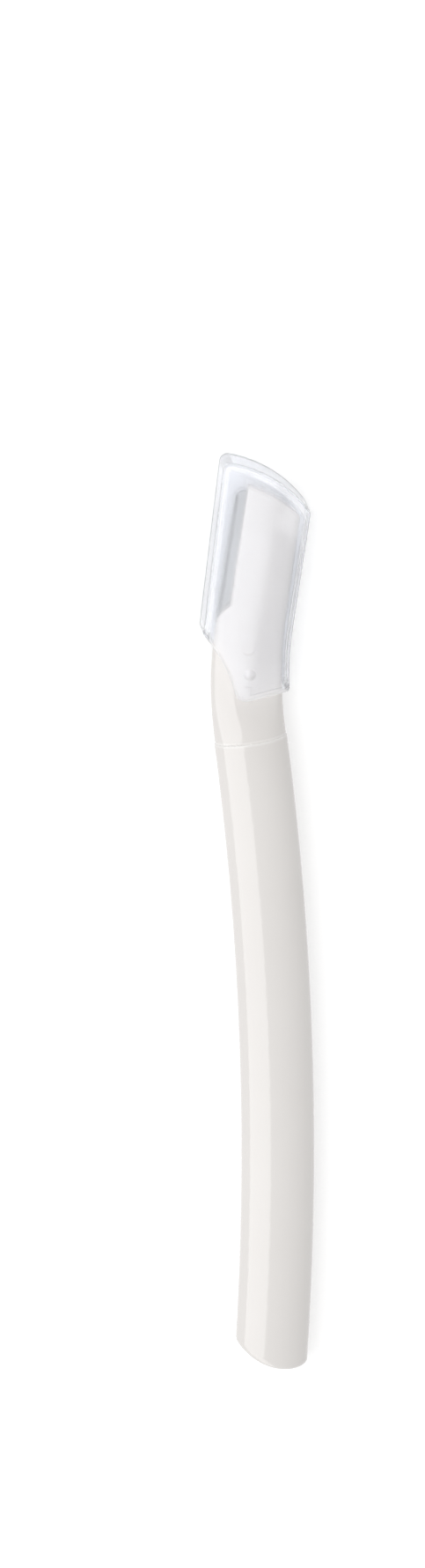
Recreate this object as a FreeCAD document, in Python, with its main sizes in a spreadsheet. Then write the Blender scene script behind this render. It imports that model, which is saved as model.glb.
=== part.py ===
import FreeCAD, Part
import math
import os

import Sketcher
from FreeCAD import Placement, Rotation, Vector

# Eyebrow razor with a pull-off clear cap, in millimetres. The razor lies on its back:
# +Z points out of its front, +Y runs towards the head, and the cutting edge faces -X.
#
# Two drawing frames are used. In the plan frame the grip's centre line is an arc that touches
# the Y axis at the origin. In the head frame x runs across the head, y along its axis, and the
# origin is the point where the axes of the neck and of the head would cross.
# At the end everything is moved so that the whole razor is centred over the origin.

DIMENSIONS = [
    ("mid_height", 3.2, "height of the blade's plane above the table"),
    ("grip_width", 10.1, "across the grip"),
    ("grip_thickness", 6.9, "front to back of the grip's oval, before the back is flattened"),
    ("bow_radius", 470, "radius of the grip's gentle bow"),
    ("seam_reach", 60.0, "along the bow, from its middle to the seam with the carrier"),
    ("butt_reach", 30.4, "along the bow, from its middle to the tip of the butt"),
    ("butt_radius", 9.4, "radius of the butt's end, seen from the front"),
    ("butt_drift", 2.2, "how far that curve is centred to the right"),
    ("butt_round", 0.9, "rounding all along the butt's edge"),
    ("rim_round", 0.25, "rounding of the grip's edge at the seam"),
    ("socket_width", 6.2, "inside the socket that takes the carrier's tang"),
    ("socket_thickness", 3.2, "inside the socket, front to back"),
    ("socket_depth", 9.0, "depth of the socket"),
    ("tang_length", 8.6, "length of the carrier's tang"),
    ("tang_play", 0.06, "play around the tang, taken up by its ribs"),
    ("tang_rib", 0.8, "width of the ribs that grip the socket"),
    ("neck_width", 9.84, "across the carrier, from the seam to the cap's mouth"),
    ("head_width", 8.9, "across the carrier's oval at the tip of the head"),
    ("neck_thickness", 6.0, "carrier at the seam, a little less than the grip"),
    ("mouth_thickness", 4.12, "carrier where the cap's mouth sits"),
    ("mouth_reach", 7.1, "from the seam to where the cap's mouth sits"),
    ("head_thickness", 3.24, "carrier at the tip of the head"),
    ("bend_reach", 9.16, "from the seam to where the two axes cross"),
    ("bend_radius", 60, "radius of the neck's bend"),
    ("head_lean", 8.6, "lean of the head to the right, in degrees"),
    ("edge_line", 3.3, "from the head's axis to the plastic's blade side"),
    ("heel_top", 9.8, "along the head, where the heel starts to curve out"),
    ("heel_foot", 5.9, "along the head, where the heel meets the outline"),
    ("heel_reach", 5.0, "from the head's axis to the foot of the heel"),
    ("heel_radius", 5.32, "radius of the heel's hollow curve"),
    ("crest_left", 26.8, "along the head, its top edge on the blade side"),
    ("crest_right", 22.6, "along the head, its top edge on the far side"),
    ("crest_radius", 14.5, "radius of the top edge"),
    ("bevel_width", 1.3, "how far the blade side's slope would run at the height of the front"),
    ("bevel_rise", 0.55, "from the blade's plane to the foot of that slope"),
    ("crest_round", 0.45, "rounding of the top edge"),
    ("nub_across", 0.75, "from the head's axis to the nub that holds the cap"),
    ("nub_along", 0.6, "along the head to the nub"),
    ("nub_radius", 1.2, "radius of the nub's ball"),
    ("nub_rise", 0.3, "how far the nub stands out of the neck"),
    ("pin_mark_along", 4.2, "along the head to the round ejector mark"),
    ("pin_mark_diameter", 1.8, "diameter of the ejector mark"),
    ("pin_mark_depth", 0.2, "depth of the ejector mark"),
    ("blade_start", 7.0, "along the head to the blade's lower end"),
    ("blade_length", 18.9, "length of the blade"),
    ("blade_width", 4.6, "blade from its edge to its back"),
    ("blade_thickness", 0.25, "thickness of the strip"),
    ("blade_grind", 0.7, "width of the ground edge"),
    ("blade_corner", 0.7, "corner cut off at the blade's tip"),
    ("blade_back_corner", 1.8, "corner cut off the blade's back, under the head's arched top"),
    ("key_diameter", 1.2, "plastic keys that pass through the blade"),
    ("key_play", 0.1, "play between a key and its hole"),
    ("key_inset", 3.6, "from the guard's edge to the middle of the keys"),
    ("key_spacing", 9.0, "distance between the two keys"),
    ("guard_line", 4.9, "from the head's axis to the tips of the guard's teeth"),
    ("guard_depth", 2.7, "guard from its teeth to the end of its leaves"),
    ("guard_sheet", 0.1, "thickness of the guard's sheet"),
    ("guard_lead", 0.2, "from the blade's edge to the tips of the teeth"),
    ("tooth_pitch", 0.38, "from one tooth to the next"),
    ("tooth_gap", 0.19, "width of the gaps between teeth"),
    ("tooth_depth", 0.6, "depth of the gaps between teeth"),
    ("tooth_count", 48, "number of gaps"),
    ("slot_play", 0.02, "play of the steel in the carrier's slots"),
    ("cap_thickness", 6.4, "cap, front to back"),
    ("cap_face", 0.8, "front and back walls of the cap"),
    ("cap_wall", 0.7, "right wall of the cap"),
    ("cap_left_wall", 1.0, "left wall of the cap"),
    ("cap_crown_wall", 1.2, "top wall of the cap"),
    ("cap_inner_right", 4.9, "from the head's axis to the inside of the cap's right wall"),
    ("cap_flank_radius", 47, "radius of the cap's right side, where it follows the neck's bend"),
    ("cap_left_top", 7.4, "from the head's axis to the cap's left side, at its top"),
    ("cap_left_foot", 6.6, "from the head's axis to the cap's left side, at its foot"),
    ("cap_crown_left", 30.2, "along the head, the cap's top corner on the left"),
    ("cap_crown_right", 24.65, "along the head, the cap's top corner on the right"),
    ("cap_crown_radius", 17.2, "radius of the cap's top edge"),
    ("cap_corner", 1.2, "radius of the cap's top corners"),
    ("cap_foot", 5.6, "along the head, where the cap's left side ends"),
    ("cap_scoop_across", 0.45, "from the head's axis to the low end of the scooped mouth"),
    ("cap_scoop_along", -3.6, "along the head, the low end of the scooped mouth"),
    ("cap_scoop_radius", 20, "radius of the scooped mouth"),
    ("cap_scoop_corner", 1.6, "radius of the corner at that low end"),
    ("cap_mouth_right", -0.8, "along the head, the mouth's end on the right"),
    ("cap_edge_round", 0.4, "rounding of the cap's outer edges"),
    ("cap_mouth_corner", 0.8, "radius of the mouth's other corners"),
    ("cap_lip_width", 1.0, "width of the thinner lip inside the mouth"),
    ("cap_lip_depth", 0.2, "how much thinner the lip is on each face"),
    ("cap_notch_width", 0.9, "notch in the mouth that guides the nub"),
    ("cap_notch_setback", 1.6, "from the nub to the end of that notch"),
    ("cap_notch_depth", 0.3, "depth of that notch"),
]

SHEET = "Dimensions"
# Number of evenly spaced ovals that the carrier's skin is drawn through.
CARRIER_SECTIONS = 14
# Reach of a cut that has to pass right through a piece.
OVERSIZE = 20.0
# How far a cutting outline runs past the face it trims.
OVERRUN = 0.3
# How close a point has to lie to a face to count as being on it.
TOUCH = 0.01
# Places along an edge, as shares of its length, that are tested when edges are picked.
EDGE_SAMPLES = (0.02, 0.5, 0.98)

doc = FreeCAD.newDocument("eyebrow_razor")


class Size:
    """A length that knows its number and the sheet expression that gives it."""

    def __init__(self, number, text):
        self.number = number
        self.text = text

    def __add__(self, other):
        other = as_size(other)
        return Size(self.number + other.number, f"({self.text} + {other.text})")

    def __sub__(self, other):
        other = as_size(other)
        return Size(self.number - other.number, f"({self.text} - {other.text})")

    def __mul__(self, factor):
        return Size(self.number * factor, f"({self.text} * {factor:.6f})")

    def __neg__(self):
        return self * -1


def as_size(value):
    """Let a plain number stand where a Size is expected."""
    if isinstance(value, Size):
        return value
    return Size(float(value), f"({value:.6f})")


def make_sheet():
    """Put every driving dimension in the document's sheet under its own name."""
    sheet = doc.addObject("Spreadsheet::Sheet", SHEET)
    for row, (alias, number, note) in enumerate(DIMENSIONS, start=1):
        sheet.set(f"A{row}", alias)
        sheet.set(f"B{row}", str(number))
        sheet.set(f"C{row}", note)
        sheet.setAlias(f"B{row}", alias)
    doc.recompute()
    return sheet


sheet = make_sheet()


def size(alias):
    """The Size held by one cell of the sheet."""
    return Size(float(sheet.get(alias)), f"{SHEET}.{alias}")


def number(alias):
    """The plain number held by one cell of the sheet."""
    return size(alias).number


def new_body(label):
    """An empty body named after its node."""
    body = doc.addObject("PartDesign::Body", label)
    body.Label = label
    return body


def origin_feature(body, role):
    """One of the body's own origin planes or axes."""
    return [item for item in body.Origin.OriginFeatures if item.Role == role][0]


def new_sketch(body, name, role, offset):
    """A sketch on one of the body's origin planes, moved by offset within that plane's frame."""
    sketch = body.newObject("Sketcher::SketchObject", name)
    sketch.AttachmentSupport = [(origin_feature(body, role), "")]
    sketch.MapMode = "FlatFace"
    sketch.AttachmentOffset = offset
    return sketch


def plan_sketch(body, name, height=0.0, frame=Placement()):
    """A sketch seen from the front, at a height, in the plan frame or in the head frame."""
    return new_sketch(body, name, "XY_Plane", Placement(Vector(0, 0, height), Rotation()) * frame)


def section_sketch(body, name, x, y, lean, height):
    """An upright sketch square to an axis that leans by so many degrees to the right."""
    turn = Rotation(Vector(0, 1, 0), -lean)
    return new_sketch(body, name, "XZ_Plane", Placement(Vector(x, height, -y), turn))


def hold(sketch, kind, *where, by):
    """Add one driving constraint and bind it to the sheet."""
    index = sketch.addConstraint(Sketcher.Constraint(kind, *where, by.number))
    sketch.setExpression(f"Constraints[{index}]", by.text)


def draw_oval(sketch, width, thickness):
    """An ellipse centred on the sketch."""
    major = Vector(width.number / 2, 0, 0)
    minor = Vector(0, thickness.number / 2, 0)
    oval = sketch.addGeometry(Part.Ellipse(major, minor, Vector(0, 0, 0)))
    sketch.exposeInternalGeometry(oval)
    wide, thick = oval + 1, oval + 2
    sketch.addConstraint(Sketcher.Constraint("Coincident", oval, 3, -1, 1))
    sketch.addConstraint(Sketcher.Constraint("Horizontal", wide))
    hold(sketch, "Distance", wide, by=width)
    hold(sketch, "Distance", thick, by=thickness)


def draw_far_axis(sketch, x):
    """An upright construction line that the sketch can be turned about."""
    line = Part.LineSegment(Vector(x.number, -1, 0), Vector(x.number, 1, 0))
    axis = sketch.addGeometry(line, True)
    sketch.addConstraint(Sketcher.Constraint("Vertical", axis))
    hold(sketch, "DistanceX", axis, 1, by=x)


def draw_circle(sketch, x, y, diameter):
    """A circle about a point."""
    centre = Vector(x.number, y.number, 0)
    circle = sketch.addGeometry(Part.Circle(centre, Vector(0, 0, 1), diameter.number / 2))
    hold(sketch, "DistanceX", circle, 3, by=x)
    hold(sketch, "DistanceY", circle, 3, by=y)
    hold(sketch, "Diameter", circle, by=diameter)


def arc_between(start, end, radius, anticlockwise):
    """The arc of under half a circle from one point to another."""
    chord = end - start
    reach = math.sqrt(radius**2 - (chord.Length / 2) ** 2)
    left = Vector(-chord.y, chord.x, 0).normalize()
    centre = (start + end) * 0.5 + left * (reach if anticlockwise else -reach)
    first, last = (start, end) if anticlockwise else (end, start)
    angles = [math.atan2(point.y - centre.y, point.x - centre.x) for point in (first, last)]
    return Part.ArcOfCircle(Part.Circle(centre, Vector(0, 0, 1), radius), *angles)


def draw_outline(sketch, corners, arcs=None):
    """A closed outline through corners given as pairs of lengths.

    arcs maps an edge's number to the radius and the turning sense of the arc it is.
    """
    arcs = arcs or {}
    corners = [(as_size(x), as_size(y)) for x, y in corners]
    points = [Vector(x.number, y.number, 0) for x, y in corners]
    ends = []
    for edge, start in enumerate(points):
        end = points[(edge + 1) % len(points)]
        if edge in arcs:
            radius, anticlockwise = arcs[edge]
            curve = sketch.addGeometry(arc_between(start, end, radius.number, anticlockwise))
            ends.append((curve, 1, 2) if anticlockwise else (curve, 2, 1))
        else:
            curve = sketch.addGeometry(Part.LineSegment(start, end))
            ends.append((curve, 1, 2))
    for edge, (curve, _, end) in enumerate(ends):
        following, following_start, _ = ends[(edge + 1) % len(ends)]
        sketch.addConstraint(Sketcher.Constraint("Coincident", curve, end, following, following_start))
    for edge, (curve, start, _) in enumerate(ends):
        x, y = corners[edge]
        hold(sketch, "DistanceX", curve, start, by=x)
        hold(sketch, "DistanceY", curve, start, by=y)
        if edge in arcs:
            hold(sketch, "Radius", curve, by=arcs[edge][0])


def draw_box(sketch, left, right, low, high):
    """An upright rectangle."""
    draw_outline(sketch, [(left, low), (right, low), (right, high), (left, high)])


def extrude(body, kind, name, sketch, length, reverse=False, both_ways=False):
    """Pad or pocket a sketch."""
    feature = body.newObject(f"PartDesign::{kind}", name)
    feature.Profile = sketch
    feature.setExpression("Length", as_size(length).text)
    feature.Reversed = reverse
    if both_ways:
        feature.SideType = "Symmetric"
    doc.recompute()
    return feature


def loft(body, name, sections):
    """A smooth skin through a row of sections."""
    feature = body.newObject("PartDesign::AdditiveLoft", name)
    feature.Profile = sections[0]
    feature.Sections = sections[1:]
    doc.recompute()
    return feature


def edges_where(feature, wanted):
    """Names of the edges whose middle and both ends meet a test."""
    names = []
    for index, edge in enumerate(feature.Shape.Edges, start=1):
        first, last = edge.FirstParameter, edge.LastParameter
        points = [edge.valueAt(first + share * (last - first)) for share in EDGE_SAMPLES]
        if all(wanted(point) for point in points):
            names.append(f"Edge{index}")
    return names


def fillet(body, name, base, wanted, radius):
    """Round the edges of a feature that meet a test."""
    feature = body.newObject("PartDesign::Fillet", name)
    feature.Base = (base, edges_where(base, wanted))
    feature.setExpression("Radius", radius.text)
    doc.recompute()
    return feature


def bow_point(along):
    """Place and lean, in the plan frame, of a point along the grip's bowed centre line."""
    turn = along / number("bow_radius")
    x = -number("bow_radius") * (1 - math.cos(turn))
    y = number("bow_radius") * math.sin(turn)
    return x, y, -math.degrees(turn)


def step(point, forward, across):
    """Move a point along and across its own lean."""
    x, y, lean = point
    turn = math.radians(lean)
    x += forward * math.sin(turn) + across * math.cos(turn)
    y += forward * math.cos(turn) - across * math.sin(turn)
    return x, y, lean


MIDDLE = number("mid_height")
SEAM = bow_point(number("seam_reach"))
BEND = step(SEAM, number("bend_reach"), 0.0)
HEAD_FRAME = Placement(Vector(BEND[0], BEND[1], 0), Rotation(Vector(0, 0, 1), -number("head_lean")))
TURN = number("head_lean") - SEAM[2]
BEND_TANGENT = number("bend_radius") * math.tan(math.radians(TURN / 2))


def neck_point(along):
    """Place and lean of a point along the carrier's centre line, measured from the seam."""
    lead = number("bend_reach") - BEND_TANGENT
    sweep = number("bend_radius") * math.radians(TURN)
    if along <= lead:
        return step(SEAM, along, 0.0)
    turned = min(along - lead, sweep) / number("bend_radius")
    start = step(SEAM, lead, 0.0)
    forward = number("bend_radius") * math.sin(turned)
    across = number("bend_radius") * (1 - math.cos(turned))
    x, y, lean = step(start, forward, across)
    return step((x, y, lean + math.degrees(turned)), max(along - lead - sweep, 0.0), 0.0)


def in_head_frame(point):
    """A head-frame point for a plan-frame one."""
    return HEAD_FRAME.inverse().multVec(Vector(point[0], point[1], 0))


def sweep_bow(body):
    """The handle's bar: an oval turned about a far axis, a little longer than the handle."""
    oval = section_sketch(body, "bow_section", *SEAM, MIDDLE)
    draw_far_axis(oval, -size("bow_radius"))
    draw_oval(oval, size("grip_width"), size("grip_thickness"))
    bar = body.newObject("PartDesign::Revolution", "bow")
    bar.Profile = oval
    bar.ReferenceAxis = (oval, ["Axis0"])
    length = size("seam_reach") + size("butt_reach") + size("butt_round")
    bar.setExpression("Angle", f"{length.text} / {SHEET}.bow_radius * 180 / pi")
    bar.Reversed = True
    doc.recompute()


def shape_butt(body):
    """Trim the handle's lower end to an arc that hangs to the right, and round its edge."""
    x, y, lean = bow_point(-number("butt_reach"))
    frame = Placement(Vector(x, y, 0), Rotation(Vector(0, 0, 1), -lean))
    outline = plan_sketch(body, "butt_outline", MIDDLE, frame)
    side, radius, drift = number("grip_width") * 0.7, number("butt_radius"), number("butt_drift")
    left_rise = radius - math.sqrt(radius**2 - (side + drift) ** 2)
    right_rise = radius - math.sqrt(radius**2 - (side - drift) ** 2)
    draw_outline(
        outline,
        [(-side, left_rise), (side, right_rise), (side, -OVERSIZE), (-side, -OVERSIZE)],
        {0: (size("butt_radius"), True)},
    )
    cut = extrude(body, "Pocket", "butt", outline, OVERSIZE, both_ways=True)

    def on_butt(point):
        place = frame.inverse().multVec(point)
        return abs(math.hypot(place.x - drift, place.y - radius) - radius) < TOUCH

    fillet(body, "butt_edge", cut, on_butt, size("butt_round"))


def make_grip():
    """The bowed handle, flat along its back and hollow where the carrier plugs in."""
    body = new_body("grip")
    sweep_bow(body)
    shape_butt(body)
    table = plan_sketch(body, "back_flat_outline")
    reach = number("seam_reach") + OVERSIZE
    draw_box(table, -OVERSIZE, OVERSIZE, -reach, reach)
    flattened = extrude(body, "Pocket", "back_flat", table, OVERSIZE)
    seam_frame = Placement(Vector(SEAM[0], SEAM[1], 0), Rotation(Vector(0, 0, 1), -SEAM[2]))

    def on_seam(point):
        return abs(seam_frame.inverse().multVec(point).y) < TOUCH

    fillet(body, "rim", flattened, on_seam, size("rim_round"))
    socket = section_sketch(body, "socket_outline", *SEAM, MIDDLE)
    across, deep = size("socket_width") * 0.5, size("socket_thickness") * 0.5
    draw_box(socket, -across, across, -deep, deep)
    extrude(body, "Pocket", "socket", socket, size("socket_depth"), reverse=True)
    return body


def carrier_size(along, head_end):
    """Width and thickness of the carrier: a quick ease to the cap's mouth, then a slow taper."""
    mouth_share = min(along / number("mouth_reach"), 1.0)
    ease = mouth_share**2 * (3 - 2 * mouth_share)
    head_share = max(along - number("mouth_reach"), 0.0) / (head_end - number("mouth_reach"))
    neck, mouth, head = size("neck_thickness"), size("mouth_thickness"), size("head_thickness")
    width = size("neck_width") * (1 - head_share) + size("head_width") * head_share
    return width, neck * (1 - ease) + mouth * (ease - head_share) + head * head_share


def skin_carrier(body):
    """The carrier's outer form, drawn a little past the tip of the head."""
    sweep_end = number("bend_reach") - BEND_TANGENT + number("bend_radius") * math.radians(TURN)
    head_end = sweep_end + number("crest_left") - BEND_TANGENT + 1.0
    sections = []
    for index in range(CARRIER_SECTIONS):
        along = head_end * index / (CARRIER_SECTIONS - 1)
        sketch = section_sketch(body, f"carrier_section_{index}", *neck_point(along), MIDDLE)
        draw_oval(sketch, *carrier_size(along, head_end))
        sections.append(sketch)
    loft(body, "carrier_skin", sections)


def add_tang(body):
    """The plug that goes into the grip, with ribs that touch the socket's walls."""
    wide, thick = size("socket_width") * 0.5, size("socket_thickness") * 0.5
    play, rib = size("tang_play"), size("tang_rib") * 0.5
    length = size("tang_length")
    for name, across, deep, reach in (
        ("tang", wide - play, thick - play, length),
        ("wide_ribs", wide, rib, length * 0.7),
        ("tall_ribs", rib, thick, length * 0.7),
    ):
        outline = section_sketch(body, f"{name}_outline", *SEAM, MIDDLE)
        draw_box(outline, -across, across, -deep, deep)
        extrude(body, "Pad", name, outline, reach)


def trim_head(body):
    """Cut the head's straight blade side with its hollow heel, then its arched top edge."""
    edge, right = -size("edge_line"), size("neck_width") * 0.5
    outside, above = -number("neck_width"), size("crest_left") + size("crest_radius") * 0.5
    side = plan_sketch(body, "blade_side_outline", MIDDLE, HEAD_FRAME)
    draw_outline(
        side,
        [(edge, size("heel_top")), (edge, above), (outside, above), (outside, size("heel_foot")),
         (-size("heel_reach"), size("heel_foot"))],
        {4: (size("heel_radius"), False)},
    )
    extrude(body, "Pocket", "blade_side", side, OVERSIZE, both_ways=True)
    crest = plan_sketch(body, "crest_outline", MIDDLE, HEAD_FRAME)
    draw_outline(
        crest,
        [(edge - OVERRUN, size("crest_left")), (right + OVERRUN, size("crest_right")),
         (right + OVERRUN, above), (edge - OVERRUN, above)],
        {0: (size("crest_radius"), False)},
    )
    trimmed = extrude(body, "Pocket", "crest", crest, OVERSIZE, both_ways=True)

    def on_crest(point):
        return in_head_frame(point).y > number("crest_right") and abs(point.z - MIDDLE) > TOUCH * 5

    fillet(body, "crest_edge", trimmed, on_crest, size("crest_round"))


def bevel_edge(body):
    """Slope the blade side away from the edge, front and back."""
    foot = step((BEND[0], BEND[1], number("head_lean")), number("heel_top"), 0.0)
    outside, inside = -size("edge_line") - OVERRUN, size("bevel_width") - size("edge_line")
    for name, sign in (("front_bevel", 1), ("back_bevel", -1)):
        wedge = section_sketch(body, f"{name}_outline", *foot, MIDDLE)
        low, high = size("bevel_rise") * sign, size("mid_height") * sign
        draw_outline(wedge, [(outside, low), (inside, high), (outside, high)])
        extrude(body, "Pocket", name, wedge, OVERSIZE)


def key_places():
    """Where the two keys sit along the head."""
    centre = size("blade_start") + size("blade_length") * 0.5
    return centre - size("key_spacing") * 0.5, centre + size("key_spacing") * 0.5


def cut_slots(body):
    """Room in the head for the blade and the guard's leaves, with keys left through the blade."""
    play, tips = size("slot_play"), -size("guard_line")
    low = size("blade_start") - play
    high = size("blade_start") + size("blade_length") + play
    outside = -number("neck_width")
    slot = plan_sketch(body, "blade_slot_outline", MIDDLE, HEAD_FRAME)
    back, corner = tips + size("guard_lead") + size("blade_width") + play, size("blade_back_corner")
    draw_outline(
        slot,
        [(outside, low), (back, low), (back, high - corner), (back - corner, high), (outside, high)],
    )
    for along in key_places():
        draw_circle(slot, tips + size("key_inset"), along, size("key_diameter"))
    extrude(body, "Pocket", "blade_slot", slot, size("blade_thickness") + play * 2, both_ways=True)
    leaves = plan_sketch(body, "guard_slot_outline", MIDDLE, HEAD_FRAME)
    draw_box(leaves, outside, tips + size("guard_depth") + play, low, high)
    thickness = size("blade_thickness") + size("guard_sheet") * 2 + play * 4
    extrude(body, "Pocket", "guard_slot", leaves, thickness, both_ways=True)


def front_height(body, x, y):
    """Height of the body's front over a point of the head frame."""
    foot = HEAD_FRAME.multVec(Vector(x, y, 0))
    line = Part.makeLine(foot, foot + Vector(0, 0, OVERSIZE))
    return body.Shape.common(line).BoundBox.ZMax


def add_nub(body):
    """The small dome on the neck that the cap snaps over."""
    x, y = number("nub_across"), number("nub_along")
    lift = front_height(body, x, y) + number("nub_rise") - number("nub_radius")
    nub = body.newObject("PartDesign::AdditiveSphere", "nub")
    nub.AttachmentSupport = [(origin_feature(body, "XY_Plane"), "")]
    nub.MapMode = "FlatFace"
    nub.AttachmentOffset = Placement(HEAD_FRAME.multVec(Vector(x, y, lift)), Rotation())
    nub.setExpression("Radius", size("nub_radius").text)
    doc.recompute()


def mark_pin(body):
    """The shallow round mark that an ejector pin leaves."""
    floor = front_height(body, 0.0, number("pin_mark_along")) - number("pin_mark_depth")
    mark = plan_sketch(body, "pin_mark_outline", floor, HEAD_FRAME)
    draw_circle(mark, as_size(0.0), size("pin_mark_along"), size("pin_mark_diameter"))
    extrude(body, "Pocket", "pin_mark", mark, size("pin_mark_diameter"), reverse=True)


def make_carrier():
    """The head moulding: tang, neck, and the thin head that holds the blade."""
    body = new_body("blade_carrier")
    skin_carrier(body)
    add_tang(body)
    trim_head(body)
    bevel_edge(body)
    cut_slots(body)
    add_nub(body)
    mark_pin(body)
    return body


def cut_tip_corner(body, name, side, corner, inward):
    """Cut a slanting corner off the upper end of a strip in the head frame.

    inward is 1 for the strip's left side and -1 for its right side.
    """
    top = size("blade_start") + size("blade_length")
    inside, outside = side + corner * inward, side - OVERRUN * inward
    outline = plan_sketch(body, f"{name}_outline", MIDDLE)
    draw_outline(
        outline,
        [(side, top - corner), (inside, top), (inside, top + OVERRUN),
         (outside, top + OVERRUN), (outside, top - corner)],
    )
    extrude(body, "Pocket", name, outline, OVERSIZE, both_ways=True)


def make_blade():
    """A ground steel strip with two holes, drawn in the head frame."""
    body = new_body("blade")
    profile = section_sketch(body, "blade_profile", 0.0, number("blade_start"), 0.0, MIDDLE)
    edge = -size("guard_line") + size("guard_lead")
    back = edge + size("blade_width")
    shoulder = edge + size("blade_grind")
    half = size("blade_thickness") * 0.5
    draw_outline(profile, [(edge, 0.0), (shoulder, -half), (back, -half), (back, half), (shoulder, half)])
    extrude(body, "Pad", "strip", profile, size("blade_length"), reverse=True)
    cut_tip_corner(body, "blade_tip", edge, size("blade_corner"), 1)
    cut_tip_corner(body, "blade_back_tip", back, size("blade_back_corner"), -1)
    holes = plan_sketch(body, "key_hole_outline", MIDDLE)
    across, hole = size("key_inset") - size("guard_line"), size("key_diameter") + size("key_play")
    for along in key_places():
        draw_circle(holes, across, along, hole)
    extrude(body, "Pocket", "key_holes", holes, OVERSIZE, both_ways=True)
    return body


def cut_teeth(body, tips):
    """Slit the guard's fold into a row of fine teeth."""
    gap = plan_sketch(body, "tooth_gap_outline", MIDDLE)
    first = size("blade_start") + size("tooth_gap")
    draw_box(gap, tips - OVERRUN, tips + size("tooth_depth"), first, first + size("tooth_gap"))
    cut = extrude(body, "Pocket", "tooth_gap", gap, OVERSIZE, both_ways=True)
    pattern = body.newObject("PartDesign::LinearPattern", "teeth")
    pattern.Originals = [cut]
    pattern.Direction = (origin_feature(body, "Y_Axis"), [""])
    pattern.setExpression("Occurrences", f"{SHEET}.tooth_count")
    pattern.setExpression("Length", f"{SHEET}.tooth_pitch * ({SHEET}.tooth_count - 1)")
    body.Tip = pattern
    doc.recompute()


def make_guard():
    """A thin sheet folded over the edge and slit into fine teeth, drawn in the head frame."""
    body = new_body("guard_comb")
    profile = section_sketch(body, "guard_profile", 0.0, number("blade_start"), 0.0, MIDDLE)
    tips = -size("guard_line")
    end = tips + size("guard_depth")
    inner = size("blade_thickness") * 0.5 + size("slot_play")
    outer = inner + size("guard_sheet")
    fold = tips + outer
    draw_outline(
        profile,
        [(fold, outer), (tips, 0.0), (fold, -outer), (end, -outer), (end, -inner),
         (fold, -inner), (tips + size("guard_sheet"), 0.0), (fold, inner), (end, inner), (end, outer)],
        {0: (outer, True), 1: (outer, True), 5: (inner, False), 6: (inner, False)},
    )
    extrude(body, "Pad", "fold", profile, size("blade_length"), reverse=True)
    cut_tip_corner(body, "guard_tip", tips, size("blade_corner") + size("guard_lead"), 1)
    cut_teeth(body, tips)
    return body


def cap_right(line, along):
    """How far out an upright line of the cap's right side lies, as it follows the neck's bend."""
    radius = number("cap_flank_radius")
    drop = BEND_TANGENT - along.number
    return line + (radius - math.sqrt(radius**2 - drop**2))


def make_cap_block(body, outer_right):
    """The cap's outside: a flat block with a scooped mouth and rounded edges."""
    mouth, top = size("cap_mouth_right"), number("cap_thickness")
    outline = plan_sketch(body, "cap_outline")
    draw_outline(
        outline,
        [(-size("cap_left_top"), size("cap_crown_left")),
         (-size("cap_left_foot"), size("cap_foot")),
         (-size("cap_scoop_across"), size("cap_scoop_along")),
         (cap_right(outer_right, mouth), mouth),
         (outer_right, BEND_TANGENT),
         (outer_right, size("cap_crown_right"))],
        {1: (size("cap_scoop_radius"), False),
         3: (size("cap_flank_radius"), False),
         5: (size("cap_crown_radius"), True)},
    )
    block = extrude(body, "Pad", "cap_block", outline, size("cap_thickness"))

    def on_rim(point):
        return point.z < TOUCH or point.z > top - TOUCH

    def on_crown_corner(point):
        return not on_rim(point) and point.y > number("cap_crown_right") - OVERRUN

    def on_scoop_corner(point):
        return not on_rim(point) and point.y < number("cap_scoop_along") + OVERRUN

    def on_mouth_corner(point):
        low, high = number("cap_mouth_right") - OVERRUN, number("cap_foot") + OVERRUN
        return not on_rim(point) and low < point.y < high

    block = fillet(body, "crown_corners", block, on_crown_corner, size("cap_corner"))
    block = fillet(body, "scoop_corner", block, on_scoop_corner, size("cap_scoop_corner"))
    block = fillet(body, "mouth_corners", block, on_mouth_corner, size("cap_mouth_corner"))
    fillet(body, "cap_edges", block, on_rim, size("cap_edge_round"))


def hollow_cap(body, inner_right):
    """The cap's inside, open at the mouth and a little roomier along the lip there."""
    left_wall, top_wall, lip = size("cap_left_wall"), size("cap_crown_wall"), size("cap_lip_width")
    mouth, below = size("cap_mouth_right"), -size("cap_foot")
    left_top, left_foot = left_wall - size("cap_left_top"), left_wall - size("cap_left_foot")
    middle = number("cap_thickness") / 2
    depth = size("cap_thickness") - size("cap_face") * 2
    hollow = plan_sketch(body, "hollow_outline", middle)
    draw_outline(
        hollow,
        [(left_top, size("cap_crown_left") - top_wall),
         (left_foot, size("cap_foot")),
         (left_foot, below),
         (cap_right(inner_right, below), below),
         (inner_right, BEND_TANGENT),
         (inner_right, size("cap_crown_right") - top_wall * 0.85)],
        {3: (size("cap_flank_radius"), False),
         5: (size("cap_crown_radius") - top_wall, True)},
    )
    extrude(body, "Pocket", "hollow", hollow, depth, both_ways=True)
    roomier = plan_sketch(body, "lip_outline", middle)
    draw_outline(
        roomier,
        [(left_foot, size("cap_foot") + lip * 0.5),
         (lip * 0.5 - size("cap_scoop_across"), size("cap_scoop_along") + lip),
         (cap_right(inner_right, mouth), mouth + lip * 0.5),
         (cap_right(inner_right, below), below),
         (left_foot, below)],
        {0: (size("cap_scoop_radius"), False)},
    )
    extrude(body, "Pocket", "lip", roomier, depth + size("cap_lip_depth") * 2, both_ways=True)


def cut_notch(body):
    """The groove in the mouth that guides the nub."""
    notch = plan_sketch(body, "notch_outline", number("cap_thickness") - number("cap_face"))
    across, half = size("nub_across"), size("cap_notch_width") * 0.5
    end = size("nub_along") - size("cap_notch_setback")
    draw_box(notch, across - half, across + half, end - OVERSIZE, end)
    extrude(body, "Pocket", "notch", notch, size("cap_notch_depth"), reverse=True)


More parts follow.
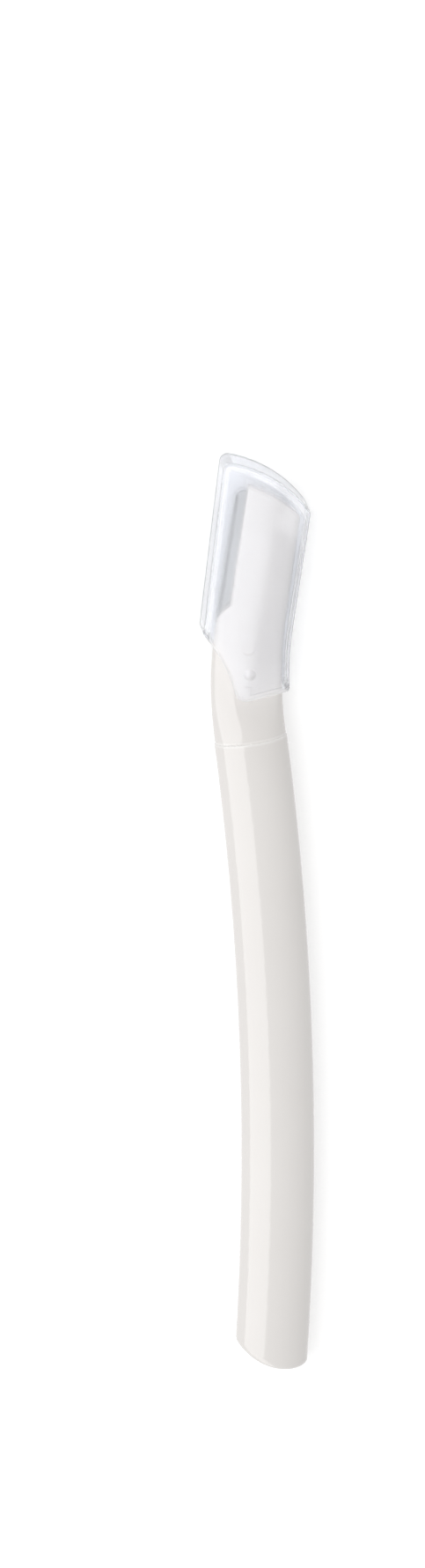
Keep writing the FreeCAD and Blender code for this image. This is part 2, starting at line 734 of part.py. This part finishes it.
def make_cap():
    """The clear cap: a flat sheath that slides over the head, drawn in the head frame."""
    body = new_body("cap")
    inner_right = size("cap_inner_right")
    make_cap_block(body, inner_right + size("cap_wall"))
    hollow_cap(body, inner_right)
    cut_notch(body)
    return body


def make_all():
    """Every piece, with the frame it was drawn in."""
    plan = Placement()
    return [
        (make_grip(), plan),
        (make_carrier(), plan),
        (make_blade(), HEAD_FRAME),
        (make_guard(), HEAD_FRAME),
        (make_cap(), HEAD_FRAME),
    ]


def centre_over_origin(pieces):
    """Stand the whole razor over the origin, on the plane it lies on."""
    box = FreeCAD.BoundBox()
    for body, frame in pieces:
        body.Placement = frame
        for point in body.Shape.tessellate(TOUCH)[0]:
            box.add(point)
    shift = Placement(Vector(-box.Center.x, -box.Center.y, 0), Rotation())
    for body, frame in pieces:
        body.Placement = shift * frame
    doc.recompute()
    print(f"box {box.XLength:.3f} x {box.YLength:.3f} x {box.ZLength:.3f}, shift {shift.Base}")
    print(f"head frame origin {shift.multVec(HEAD_FRAME.Base)}")
    print(f"cap pulls off along {HEAD_FRAME.Rotation.multVec(Vector(0, 1, 0))}")


def check(pieces):
    """Stop if anything in the document failed or a piece is not one sound solid."""
    failed = [item.Name for item in doc.Objects if {"Invalid", "Error"} & set(item.State)]
    if failed:
        raise RuntimeError(f"failed features: {failed}")
    for body, _ in pieces:
        shape = body.Shape
        if shape.isNull() or not shape.isValid() or len(shape.Solids) != 1:
            raise RuntimeError(f"{body.Label} is not one sound solid")
        print(f"{body.Label}: {shape.Volume:.2f} mm3, {len(shape.Faces)} faces")


pieces = make_all()
centre_over_origin(pieces)
check(pieces)
os.makedirs("parts", exist_ok=True)
for body, _ in pieces:
    body.Shape.exportStep(f"parts/{body.Label}.step")
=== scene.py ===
# %% [markdown]
# # An eyebrow razor with a clear cap
#
# The razor is a small disposable tool: a bowed white grip, a thin white head that carries a steel
# blade behind a fine comb guard, and a clear cap that pulls off the head. The solids come from the
# CAD model, so this lesson is mostly about looks: where the camera stands, how a softbox draws a
# clean edge along glossy plastic, and what makes a thin clear wall read as clear plastic instead of
# fog. The first step loads the solids and keeps their box.

# %% Load the razor's solids
import math

import bmesh
import bpy
from mathutils import Matrix, Vector

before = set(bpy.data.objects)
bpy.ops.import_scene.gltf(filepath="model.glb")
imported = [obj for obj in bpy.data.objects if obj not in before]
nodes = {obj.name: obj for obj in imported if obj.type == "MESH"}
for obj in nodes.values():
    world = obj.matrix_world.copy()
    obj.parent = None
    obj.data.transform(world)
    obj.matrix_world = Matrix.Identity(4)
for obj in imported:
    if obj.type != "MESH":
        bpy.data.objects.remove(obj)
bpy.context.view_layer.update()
scene = bpy.context.scene
MM = 0.001
print("solids:", ", ".join(sorted(nodes)))

# %% [markdown]
# ## The camera
#
# The razor was photographed from almost straight above, with the camera a little to the left of it
# and a little towards its head. A long lens keeps the sides parallel, so the camera stands far away.
# One point is enough to fix the framing: the middle of the grip's bow is 74 pixels right of the
# picture's centre and 420 pixels below it, and a pixel is 0.122 mm. A portrait picture's sensor
# width covers its height, so the lens follows from the height.

# %% Set up the camera
PICTURE_WIDTH, PICTURE_HEIGHT = 483, 1780
PIXEL = 0.122 * MM
TILT_LEFT, TILT_HEAD = math.radians(5.5), math.radians(15.5)
BOW_MIDDLE = Vector((2.796, -34.578, 3.2)) * MM
BOW_PIXEL = (315.7, 1310.0)
CAMERA_DISTANCE = 2.5
CLIP_START, CLIP_END = 0.1, 20.0
SENSOR = 36.0

picture_right = Vector((math.cos(TILT_LEFT), 0, math.sin(TILT_LEFT)))
to_camera = Vector((
    -math.sin(TILT_LEFT) * math.cos(TILT_HEAD),
    math.sin(TILT_HEAD),
    math.cos(TILT_LEFT) * math.cos(TILT_HEAD),
))
picture_up = to_camera.cross(picture_right)
move_right = (PICTURE_WIDTH / 2 - BOW_PIXEL[0]) * PIXEL
move_up = (BOW_PIXEL[1] - PICTURE_HEIGHT / 2) * PIXEL
aim = BOW_MIDDLE + picture_right * move_right + picture_up * move_up

camera = bpy.data.objects.new("camera", bpy.data.cameras.new("camera"))
camera.data.sensor_width = SENSOR
camera.data.lens = SENSOR * CAMERA_DISTANCE / (PICTURE_HEIGHT * PIXEL)
camera.data.clip_start, camera.data.clip_end = CLIP_START, CLIP_END
camera.matrix_world = (
    Matrix.Translation(aim + to_camera * CAMERA_DISTANCE)
    @ Matrix((picture_right, picture_up, to_camera)).transposed().to_4x4()
)
scene.collection.objects.link(camera)
scene.camera = camera
scene.view_settings.view_transform = "Standard"
print(f"lens {camera.data.lens:.0f} mm, aimed at", [round(c / MM, 1) for c in aim])

# %% [markdown]
# ## Sums with sockets
#
# Materials are built from nodes, and wiring them by hand takes many lines. This small class wraps
# one output socket. Adding or multiplying wrapped sockets adds a Math node, so a mask can be written
# as a plain sum, and one method adds any other node with its settings and inputs.


# %% Wrap a socket so that it works in sums
class Wire:
    """An output of a node, usable in sums."""

    def __init__(self, tree, socket=None):
        self.tree = tree
        self.socket = socket

    def node(self, kind, settings=None, inputs=None, output=0):
        """Add a node, set it up, connect or fill its inputs and return one of its outputs."""
        made = self.tree.nodes.new(kind)
        for name, value in (settings or {}).items():
            setattr(made, name, value)
        for name, value in (inputs or {}).items():
            if isinstance(value, Wire):
                self.tree.links.new(value.socket, made.inputs[name])
            else:
                made.inputs[name].default_value = value
        return Wire(self.tree, made.outputs[output]) if made.outputs else None

    def math(self, operation, first, second=0.0):
        """Add a Math node."""
        return self.node("ShaderNodeMath", {"operation": operation}, {0: first, 1: second})

    def __add__(self, other):
        return self.math("ADD", self, other)

    __radd__ = __add__

    def __sub__(self, other):
        return self.math("SUBTRACT", self, other)

    def __rsub__(self, other):
        return self.math("SUBTRACT", other, self)

    def __mul__(self, other):
        return self.math("MULTIPLY", self, other)

    __rmul__ = __mul__


print("sockets can be added, subtracted and multiplied")

# %% [markdown]
# ## Short names for common nodes
#
# A few kinds of node come back in every material: a value that fades, a mix of two colours, sums
# with vectors, a noise, a relief, a question about the ray that arrives and the place on the piece.
# Each gets a short function here, so that a material further down reads as a recipe. A new material
# starts empty, with one wire to grow its nodes from.


# %% Name the common nodes
def fade(value, begin, end, first, last):
    """Go from first to last while a value goes from begin to end."""
    return value.node("ShaderNodeMapRange", None, {
        "Value": value, "From Min": begin, "From Max": end, "To Min": first, "To Max": last,
    })


def mix_colours(factor, first, second):
    """Mix two colours, which a Mix node takes at its inputs 6 and 7 and gives at its output 2."""
    return factor.node("ShaderNodeMix", {"data_type": "RGBA"}, {0: factor, 6: first, 7: second}, 2)


def vector_math(operation, first, second, output=0):
    """Add a Vector Math node."""
    inputs = {0: first, 1: second}
    return first.node("ShaderNodeVectorMath", {"operation": operation}, inputs, output)


def noise(place, detail, scale=1.0):
    """Add a noise whose blotches are about one over the scale, in metres."""
    inputs = {"Vector": place, "Scale": scale, "Detail": detail}
    return place.node("ShaderNodeTexNoise", None, inputs)


def bump(height, distance):
    """Turn a height into a relief of the surface."""
    inputs = {"Height": height, "Strength": 1.0, "Distance": distance}
    return height.node("ShaderNodeBump", None, inputs)


def ray(start, question):
    """Ask the Light Path node about the ray that arrives."""
    return start.node("ShaderNodeLightPath", None, None, question)


def place_on_piece(start):
    """The place on a piece, in metres in the razor's own frame."""
    return start.node("ShaderNodeTexCoord", None, None, "Object")


def new_material(name):
    """An empty material and a wire to start its nodes from."""
    material = bpy.data.materials.new(name)
    material.use_nodes = True
    material.node_tree.nodes.clear()
    return material, Wire(material.node_tree)


def show(start, shader):
    """Connect a shader to the material's output."""
    start.node("ShaderNodeOutputMaterial", None, {"Surface": shader})


WHITE = (1, 1, 1, 1)
print("seven common nodes have short names")

# %% [markdown]
# ## The table
#
# The razor lies on a plain white table. A table that is simply lit never photographs as pure white
# without burning out the razor too. So it has an ordinary matte surface, which takes the razor's
# soft shadow and sends light back up, and on top of it a glow that only looking rays can see: those
# from the camera, off a mirror or through clear plastic. A ray that a matte surface has scattered
# doesn't look any more, even if it passes the cap later, so rays with a diffuse bounce are left out.

# %% Make the table
GLOW = 0.43
TABLE_GREY = (0.8, 0.8, 0.8, 1)
TABLE_HALF = 3.0
TABLE_DROP = 0.05 * MM


def looking_rays(start):
    """1 for rays that come from the camera, off a mirror or through clear plastic, and else 0."""
    mirrored_or_through = ray(start, "Is Glossy Ray") + ray(start, "Is Transmission Ray")
    looking = start.node("ShaderNodeMath", {"operation": "ADD", "use_clamp": True},
                         {0: ray(start, "Is Camera Ray"), 1: mirrored_or_through})
    not_scattered = start.math("LESS_THAN", ray(start, "Diffuse Depth"), 0.5)
    return looking * not_scattered


table_white, start = new_material("table_white")
matte = start.node("ShaderNodeBsdfDiffuse", None, {"Color": TABLE_GREY})
glow = start.node("ShaderNodeEmission", None, {"Color": WHITE, "Strength": looking_rays(start) * GLOW})
show(start, start.node("ShaderNodeAddShader", None, {0: matte, 1: glow}))

shape = bmesh.new()
bmesh.ops.create_grid(shape, x_segments=1, y_segments=1, size=TABLE_HALF)
bmesh.ops.translate(shape, verts=shape.verts, vec=(0, 0, -TABLE_DROP))
mesh = bpy.data.meshes.new("table")
shape.to_mesh(mesh)
shape.free()
table = bpy.data.objects.new("table", mesh)
table.data.materials.append(table_white)
scene.collection.objects.link(table)
print("a white table with a glow of", GLOW)

# %% [markdown]
# ## What the room looks like
#
# Glossy and clear plastic show the room, so the room needs a look. It is white near the horizon and
# greyer overhead, so that clear edges have something darker to bend into view.
#
# One long softbox hangs to the left. Its near edge draws the sharp line along the grip: left of the
# line the plastic mirrors the softbox, right of it the plastic mirrors the ceiling. The line sits two
# fifths of the way across, where the surface leans about ten degrees, so the softbox has to begin
# about fifteen degrees left of straight up. It is far away and only looking rays show it, so it is
# simply painted on the room as a bright band.

# %% Paint the room and its softbox
CEILING = 0.85
CEILING_BEGIN, CEILING_END = 0.05, 0.6
BOX_NEAR, BOX_FAR, BOX_SOFT = math.radians(15.5), math.radians(80), math.radians(0.3)
BOX_RADIANCE = 2.35

world = bpy.data.worlds.new("white_room")
world.use_nodes = True
world.node_tree.nodes.clear()
room = Wire(world.node_tree)
direction = room.node("ShaderNodeTexCoord", None, None, "Generated")
right, forward, up = (
    room.node("ShaderNodeSeparateXYZ", None, {0: direction}, axis) for axis in "XYZ"
)
ceiling = fade(up, CEILING_BEGIN, CEILING_END, 1.0, CEILING)
lean = room.math("ARCTAN2", 0 - right, up)
begun = fade(lean, BOX_NEAR - BOX_SOFT, BOX_NEAR + BOX_SOFT, 0.0, 1.0)
softbox = begun * room.math("LESS_THAN", lean, BOX_FAR)
room_look = ceiling + softbox * BOX_RADIANCE
print("ceiling", CEILING, "and softbox", BOX_RADIANCE)

# %% [markdown]
# ## How the room lights the razor
#
# The room also lights the razor, at a lower level than it shows. Its right side is dimmer, so the
# white plastic darkens towards its right edge. The cap's walls take some light away from the head
# inside, so light that comes through the cap starts out brighter, most of all from beyond the
# head's end: that lifts the head's rounded top edge.

# %% Light the razor from the room
FILL, RIGHT_DIM = 0.775, 0.33
FILL_UNDER_CAP, HEAD_LIFT = 1.28, 0.8

open_air = FILL * (1 - room.math("MAXIMUM", right, 0.0) * RIGHT_DIM)
under_cap = FILL_UNDER_CAP * (1 + forward * HEAD_LIFT)
through = ray(room, "Is Transmission Ray")
fill = open_air * (1 - through) + under_cap * through
looking = looking_rays(room)
strength = fill * (1 - looking) + room_look * looking
background = room.node("ShaderNodeBackground", None, {"Color": WHITE, "Strength": strength})
room.node("ShaderNodeOutputWorld", None, {"Surface": background})
scene.world = world
print("room light", FILL, "and", FILL_UNDER_CAP, "through the cap")

# %% [markdown]
# ## The key lamp
#
# The shading and the shadow come from one soft lamp, high on the left. Mirrors don't show it,
# because the softbox is already there, and it reaches the head under the cap straight through the
# clear wall instead of by bent rays.

# %% Hang the key lamp
KEY_LEAN = math.radians(35)
KEY_DISTANCE = 1.0
KEY_SIZE = 0.7
KEY_POWER = 2.2

lamp = bpy.data.lights.new("key", "AREA")
lamp.size = KEY_SIZE
lamp.energy = KEY_POWER
key = bpy.data.objects.new("key", lamp)
key.matrix_world = Matrix.Rotation(-KEY_LEAN, 4, "Y") @ Matrix.Translation((0, 0, KEY_DISTANCE))
key.visible_camera = key.visible_glossy = key.visible_transmission = False
scene.collection.objects.link(key)
print("key lamp at", [round(c, 2) for c in key.matrix_world.translation])

# %% [markdown]
# ## Two cards for the cap
#
# The cap's flat front mirrors one small patch of the ceiling, so it is either all bright or all
# dull. Two small bright cards hang where the camera's rays arrive after bouncing off that front: one
# over its left half and one over a band below its top edge. Those parts then shine and the rest
# stays grey, with a soft line between them. Light linking keeps the cards for the cap alone.

# %% Hang the cards
CARD_HEIGHT = 0.2
CARD_RADIANCE = 2.4
HEAD_LEAN = math.radians(8.6)
TOP_LEAN = math.radians(33)
LEFT_CORNER, LEFT_WIDTH, LEFT_LENGTH = Vector((16.0, -29.0)) * MM, 75 * MM, 50 * MM
TOP_CORNER, TOP_WIDTH, TOP_LENGTH = Vector((29.6, -0.4)) * MM, 10 * MM, 12 * MM

lit_by_cards = bpy.data.collections.new("lit_by_cards")
lit_by_cards.objects.link(nodes["cap"])


def hang_card(name, corner, turn, width, length):
    """A flat lamp over the cap that faces down, turned right about its lower right corner."""
    light = bpy.data.lights.new(name, "AREA")
    light.shape = "RECTANGLE"
    light.size, light.size_y = width, length
    light.energy = CARD_RADIANCE * math.pi * width * length
    card = bpy.data.objects.new(name, light)
    card.matrix_world = (
        Matrix.Translation((*corner, CARD_HEIGHT))
        @ Matrix.Rotation(-turn, 4, "Z")
        @ Matrix.Translation((-width / 2, length / 2, 0))
    )
    card.visible_camera = card.visible_diffuse = False
    card.light_linking.receiver_collection = lit_by_cards
    scene.collection.objects.link(card)


hang_card("left_card", LEFT_CORNER, HEAD_LEAN, LEFT_WIDTH, LEFT_LENGTH)
hang_card("top_card", TOP_CORNER, TOP_LEAN, TOP_WIDTH, TOP_LENGTH)
print("two cards for the cap at", CARD_HEIGHT, "m")

# %% [markdown]
# ## White plastic
#
# The grip and the head are moulded in a glossy, slightly warm white. Real mouldings are never quite
# even: the colour clouds a little where the plastic flowed, the gloss varies, the skin has a very
# faint ripple, and a fine line runs round the side where the two halves of the mould met. All of it
# is faint, because the reflection of the softbox has to keep its clean edge. At the seam between the
# grip and the head the colour is painted a shade lighter. This is a painted highlight that stands for
# the light caught by the rounded rim there. The distance from the seam's plane is a dot product with
# the plane's direction.

# %% Mix the white plastic
CLOUD_SCALE, RIPPLE_SCALE = 90.0, 500.0
FLOW_STRETCH = (1400.0, 60.0, 1400.0)
CLOUD_DARK, CLOUD_LIGHT = (0.835, 0.805, 0.780, 1), (0.875, 0.848, 0.824, 1)
PLASTIC_ROUGH, PLASTIC_SPREAD = 0.07, 0.06
PLASTIC_BUMP = 0.002 * MM
PLASTIC_IOR = 1.5
PARTING_HEIGHT, PARTING_HALF = 3.2 * MM, 0.05 * MM
PARTING_RIDGE = 4.0
SEAM_POINT = Vector((-1.028, 25.259, 0.0)) * MM
SEAM_ALONG = Vector((-0.1273, 0.9919, 0.0))
SEAM_HALF = 0.4 * MM
SEAM_HIGHLIGHT = (0.98, 0.965, 0.945, 1)

white_plastic, start = new_material("white_plastic")
place = place_on_piece(start)
cloud = noise(place, detail=3.0, scale=CLOUD_SCALE)
flow = noise(vector_math("MULTIPLY", place, FLOW_STRETCH), detail=2.0)
ripple = noise(place, detail=1.0, scale=RIPPLE_SCALE)
clouded = mix_colours(cloud, CLOUD_DARK, CLOUD_LIGHT)
height = start.node("ShaderNodeSeparateXYZ", None, {0: place}, "Z")
parting = fade(start.math("ABSOLUTE", height - PARTING_HEIGHT), 0.0, PARTING_HALF, 1.0, 0.0)
from_point = vector_math("SUBTRACT", place, SEAM_POINT)
from_seam = vector_math("DOT_PRODUCT", from_point, SEAM_ALONG, "Value")
# Painted highlight: near the seam's plane the colour turns lighter, standing for the lit rim.
seam_highlight = fade(start.math("ABSOLUTE", from_seam), 0.0, SEAM_HALF, 1.0, 0.0)
show(start, start.node("ShaderNodeBsdfPrincipled", None, {
    "Base Color": mix_colours(seam_highlight, clouded, SEAM_HIGHLIGHT),
    "Roughness": PLASTIC_ROUGH + flow * PLASTIC_SPREAD,
    "IOR": PLASTIC_IOR,
    "Normal": bump(ripple + parting * PARTING_RIDGE, PLASTIC_BUMP),
}))
for name in ("grip", "blade_carrier"):
    nodes[name].material_slots[0].material = white_plastic
print("white plastic on the grip and the blade carrier")

# %% [markdown]
# ## Brushed steel
#
# The blade and the folded guard are thin stainless strip. Rolling and grinding leave fine lines
# along the strip, so the pattern is a noise that is stretched along the head. The head leans, so the
# pattern is turned first. The blade is given much darker tones than the guard, so between the teeth
# it shows as a row of dark marks.

# %% Mix the two steels
GUARD_TONES = (0.42, 0.425, 0.43, 1), (0.50, 0.505, 0.51, 1)
BLADE_TONES = (0.19, 0.193, 0.198, 1), (0.25, 0.254, 0.26, 1)
LINE_STRETCH = (9000.0, 260.0, 9000.0)
STEEL_ROUGH, STEEL_SPREAD = 0.24, 0.16
STEEL_BUMP = 0.001 * MM


def brushed_steel(name, tones):
    """Steel with fine lines along the head, between a dark and a light tone."""
    steel, start = new_material(name)
    turn = {"Vector": place_on_piece(start), "Rotation": (0, 0, HEAD_LEAN)}
    turned = start.node("ShaderNodeMapping", None, turn)
    lines = noise(vector_math("MULTIPLY", turned, LINE_STRETCH), detail=3.0)
    show(start, start.node("ShaderNodeBsdfPrincipled", None, {
        "Base Color": mix_colours(lines, *tones),
        "Metallic": 1.0,
        "Roughness": STEEL_ROUGH + lines * STEEL_SPREAD,
        "Normal": bump(lines, STEEL_BUMP),
    }))
    return steel


nodes["guard_comb"].material_slots[0].material = brushed_steel("guard_steel", GUARD_TONES)
nodes["blade"].material_slots[0].material = brushed_steel("blade_steel", BLADE_TONES)
print("steel on the guard, and a darker one on the blade")

# %% [markdown]
# ## The rim of the cap's mouth
#
# Round the cap's mouth, where the mould closed, the plastic is a little frosted, and its tint is
# painted white there. This is a painted highlight that stands for the light the rim's edge catches,
# so the rim is a soft pale line and not a dark one. A mask has to follow that rim. Seen in plan it
# is a hollow arc on the left and a straight edge on the right, so the mask needs two distances, from
# the arc's circle and from the edge's line, and takes the smaller one.

# %% Find the arc and the edge of the mouth
HEAD_FOOT = Vector((-2.19, 34.34, 0)) * MM
SCOOP_RADIUS = 20 * MM
MOUTH_LEFT, MOUTH_LOW, MOUTH_RIGHT = (-6.6, 5.6), (-0.45, -3.6), (5.6, -0.8)


def on_head(across, along):
    """A place in plan, given across the head's axis and along it from its foot, in mm."""
    return HEAD_FOOT + Matrix.Rotation(-HEAD_LEAN, 3, "Z") @ Vector((across, along, 0)) * MM


mouth_left, mouth_low = on_head(*MOUTH_LEFT), on_head(*MOUTH_LOW)
mouth_right = on_head(*MOUTH_RIGHT)
chord = mouth_low - mouth_left
outward = Vector((chord.y, -chord.x, 0)).normalized()
reach = math.sqrt(SCOOP_RADIUS ** 2 - chord.length_squared / 4)
scoop_middle = (mouth_left + mouth_low) / 2 + outward * reach
edge = (mouth_right - mouth_low).normalized()
edge_inward = Vector((-edge.y, edge.x, 0))
print("middle of the mouth's arc in mm:", [round(c / MM, 2) for c in scoop_middle.xy])

# %% [markdown]
# ## Clear cap
#
# The cap is clear plastic with a faint lavender tint and real wall thickness, so glass that bends
# light gives its rims by itself. Bent light alone would leave the head inside too dark, because
# lamps are sampled in straight lines and those can't bend: for shadow rays the cap is therefore a
# plain tinted film. A share of the other rays goes straight through that film too. Inside a rim a
# bent ray can bounce until it is lost, and the straight share keeps such places from turning black.

# %% Mix the clear plastic
STRAIGHT = 0.30
RIM_WIDTH = 0.5 * MM
RIM_FROST = 0.4
WAVE_SCALE = 140.0
LAVENDER_DARK, LAVENDER_LIGHT = (0.868, 0.876, 0.898, 1), (0.888, 0.896, 0.916, 1)
FILM = (0.942, 0.947, 0.961, 1)
CLEAR_ROUGH, CLEAR_SPREAD = 0.03, 0.03
CLEAR_BUMP = 0.004 * MM
CLEAR_IOR = 1.55

clear_plastic, start = new_material("clear_plastic")
place = place_on_piece(start)
plan = vector_math("MULTIPLY", place, (1, 1, 0))
from_arc = vector_math("DISTANCE", plan, scoop_middle, "Value") - SCOOP_RADIUS
from_low = vector_math("SUBTRACT", plan, mouth_low)
from_edge = vector_math("DOT_PRODUCT", from_low, edge_inward, "Value")
rim_frost_and_highlight = fade(start.math("MINIMUM", from_arc, from_edge), 0.0, RIM_WIDTH, 1.0, 0.0)
wave = noise(place, detail=1.0, scale=WAVE_SCALE)
lavender = mix_colours(wave, LAVENDER_DARK, LAVENDER_LIGHT)
clear = start.node("ShaderNodeBsdfPrincipled", None, {
    # Painted highlight: along the mouth's rim the tint turns white; the frost is the added roughness.
    "Base Color": mix_colours(rim_frost_and_highlight, lavender, WHITE),
    "Roughness": CLEAR_ROUGH + wave * CLEAR_SPREAD + rim_frost_and_highlight * RIM_FROST,
    "IOR": CLEAR_IOR,
    "Transmission Weight": 1.0,
    "Normal": bump(wave, CLEAR_BUMP),
})
film = start.node("ShaderNodeBsdfTransparent", None, {"Color": FILM})
straight = STRAIGHT + ray(start, "Is Shadow Ray") * (1 - STRAIGHT)
show(start, start.node("ShaderNodeMixShader", None, {0: straight, 1: clear, 2: film}))
nodes["cap"].material_slots[0].material = clear_plastic
print("clear plastic on the cap")
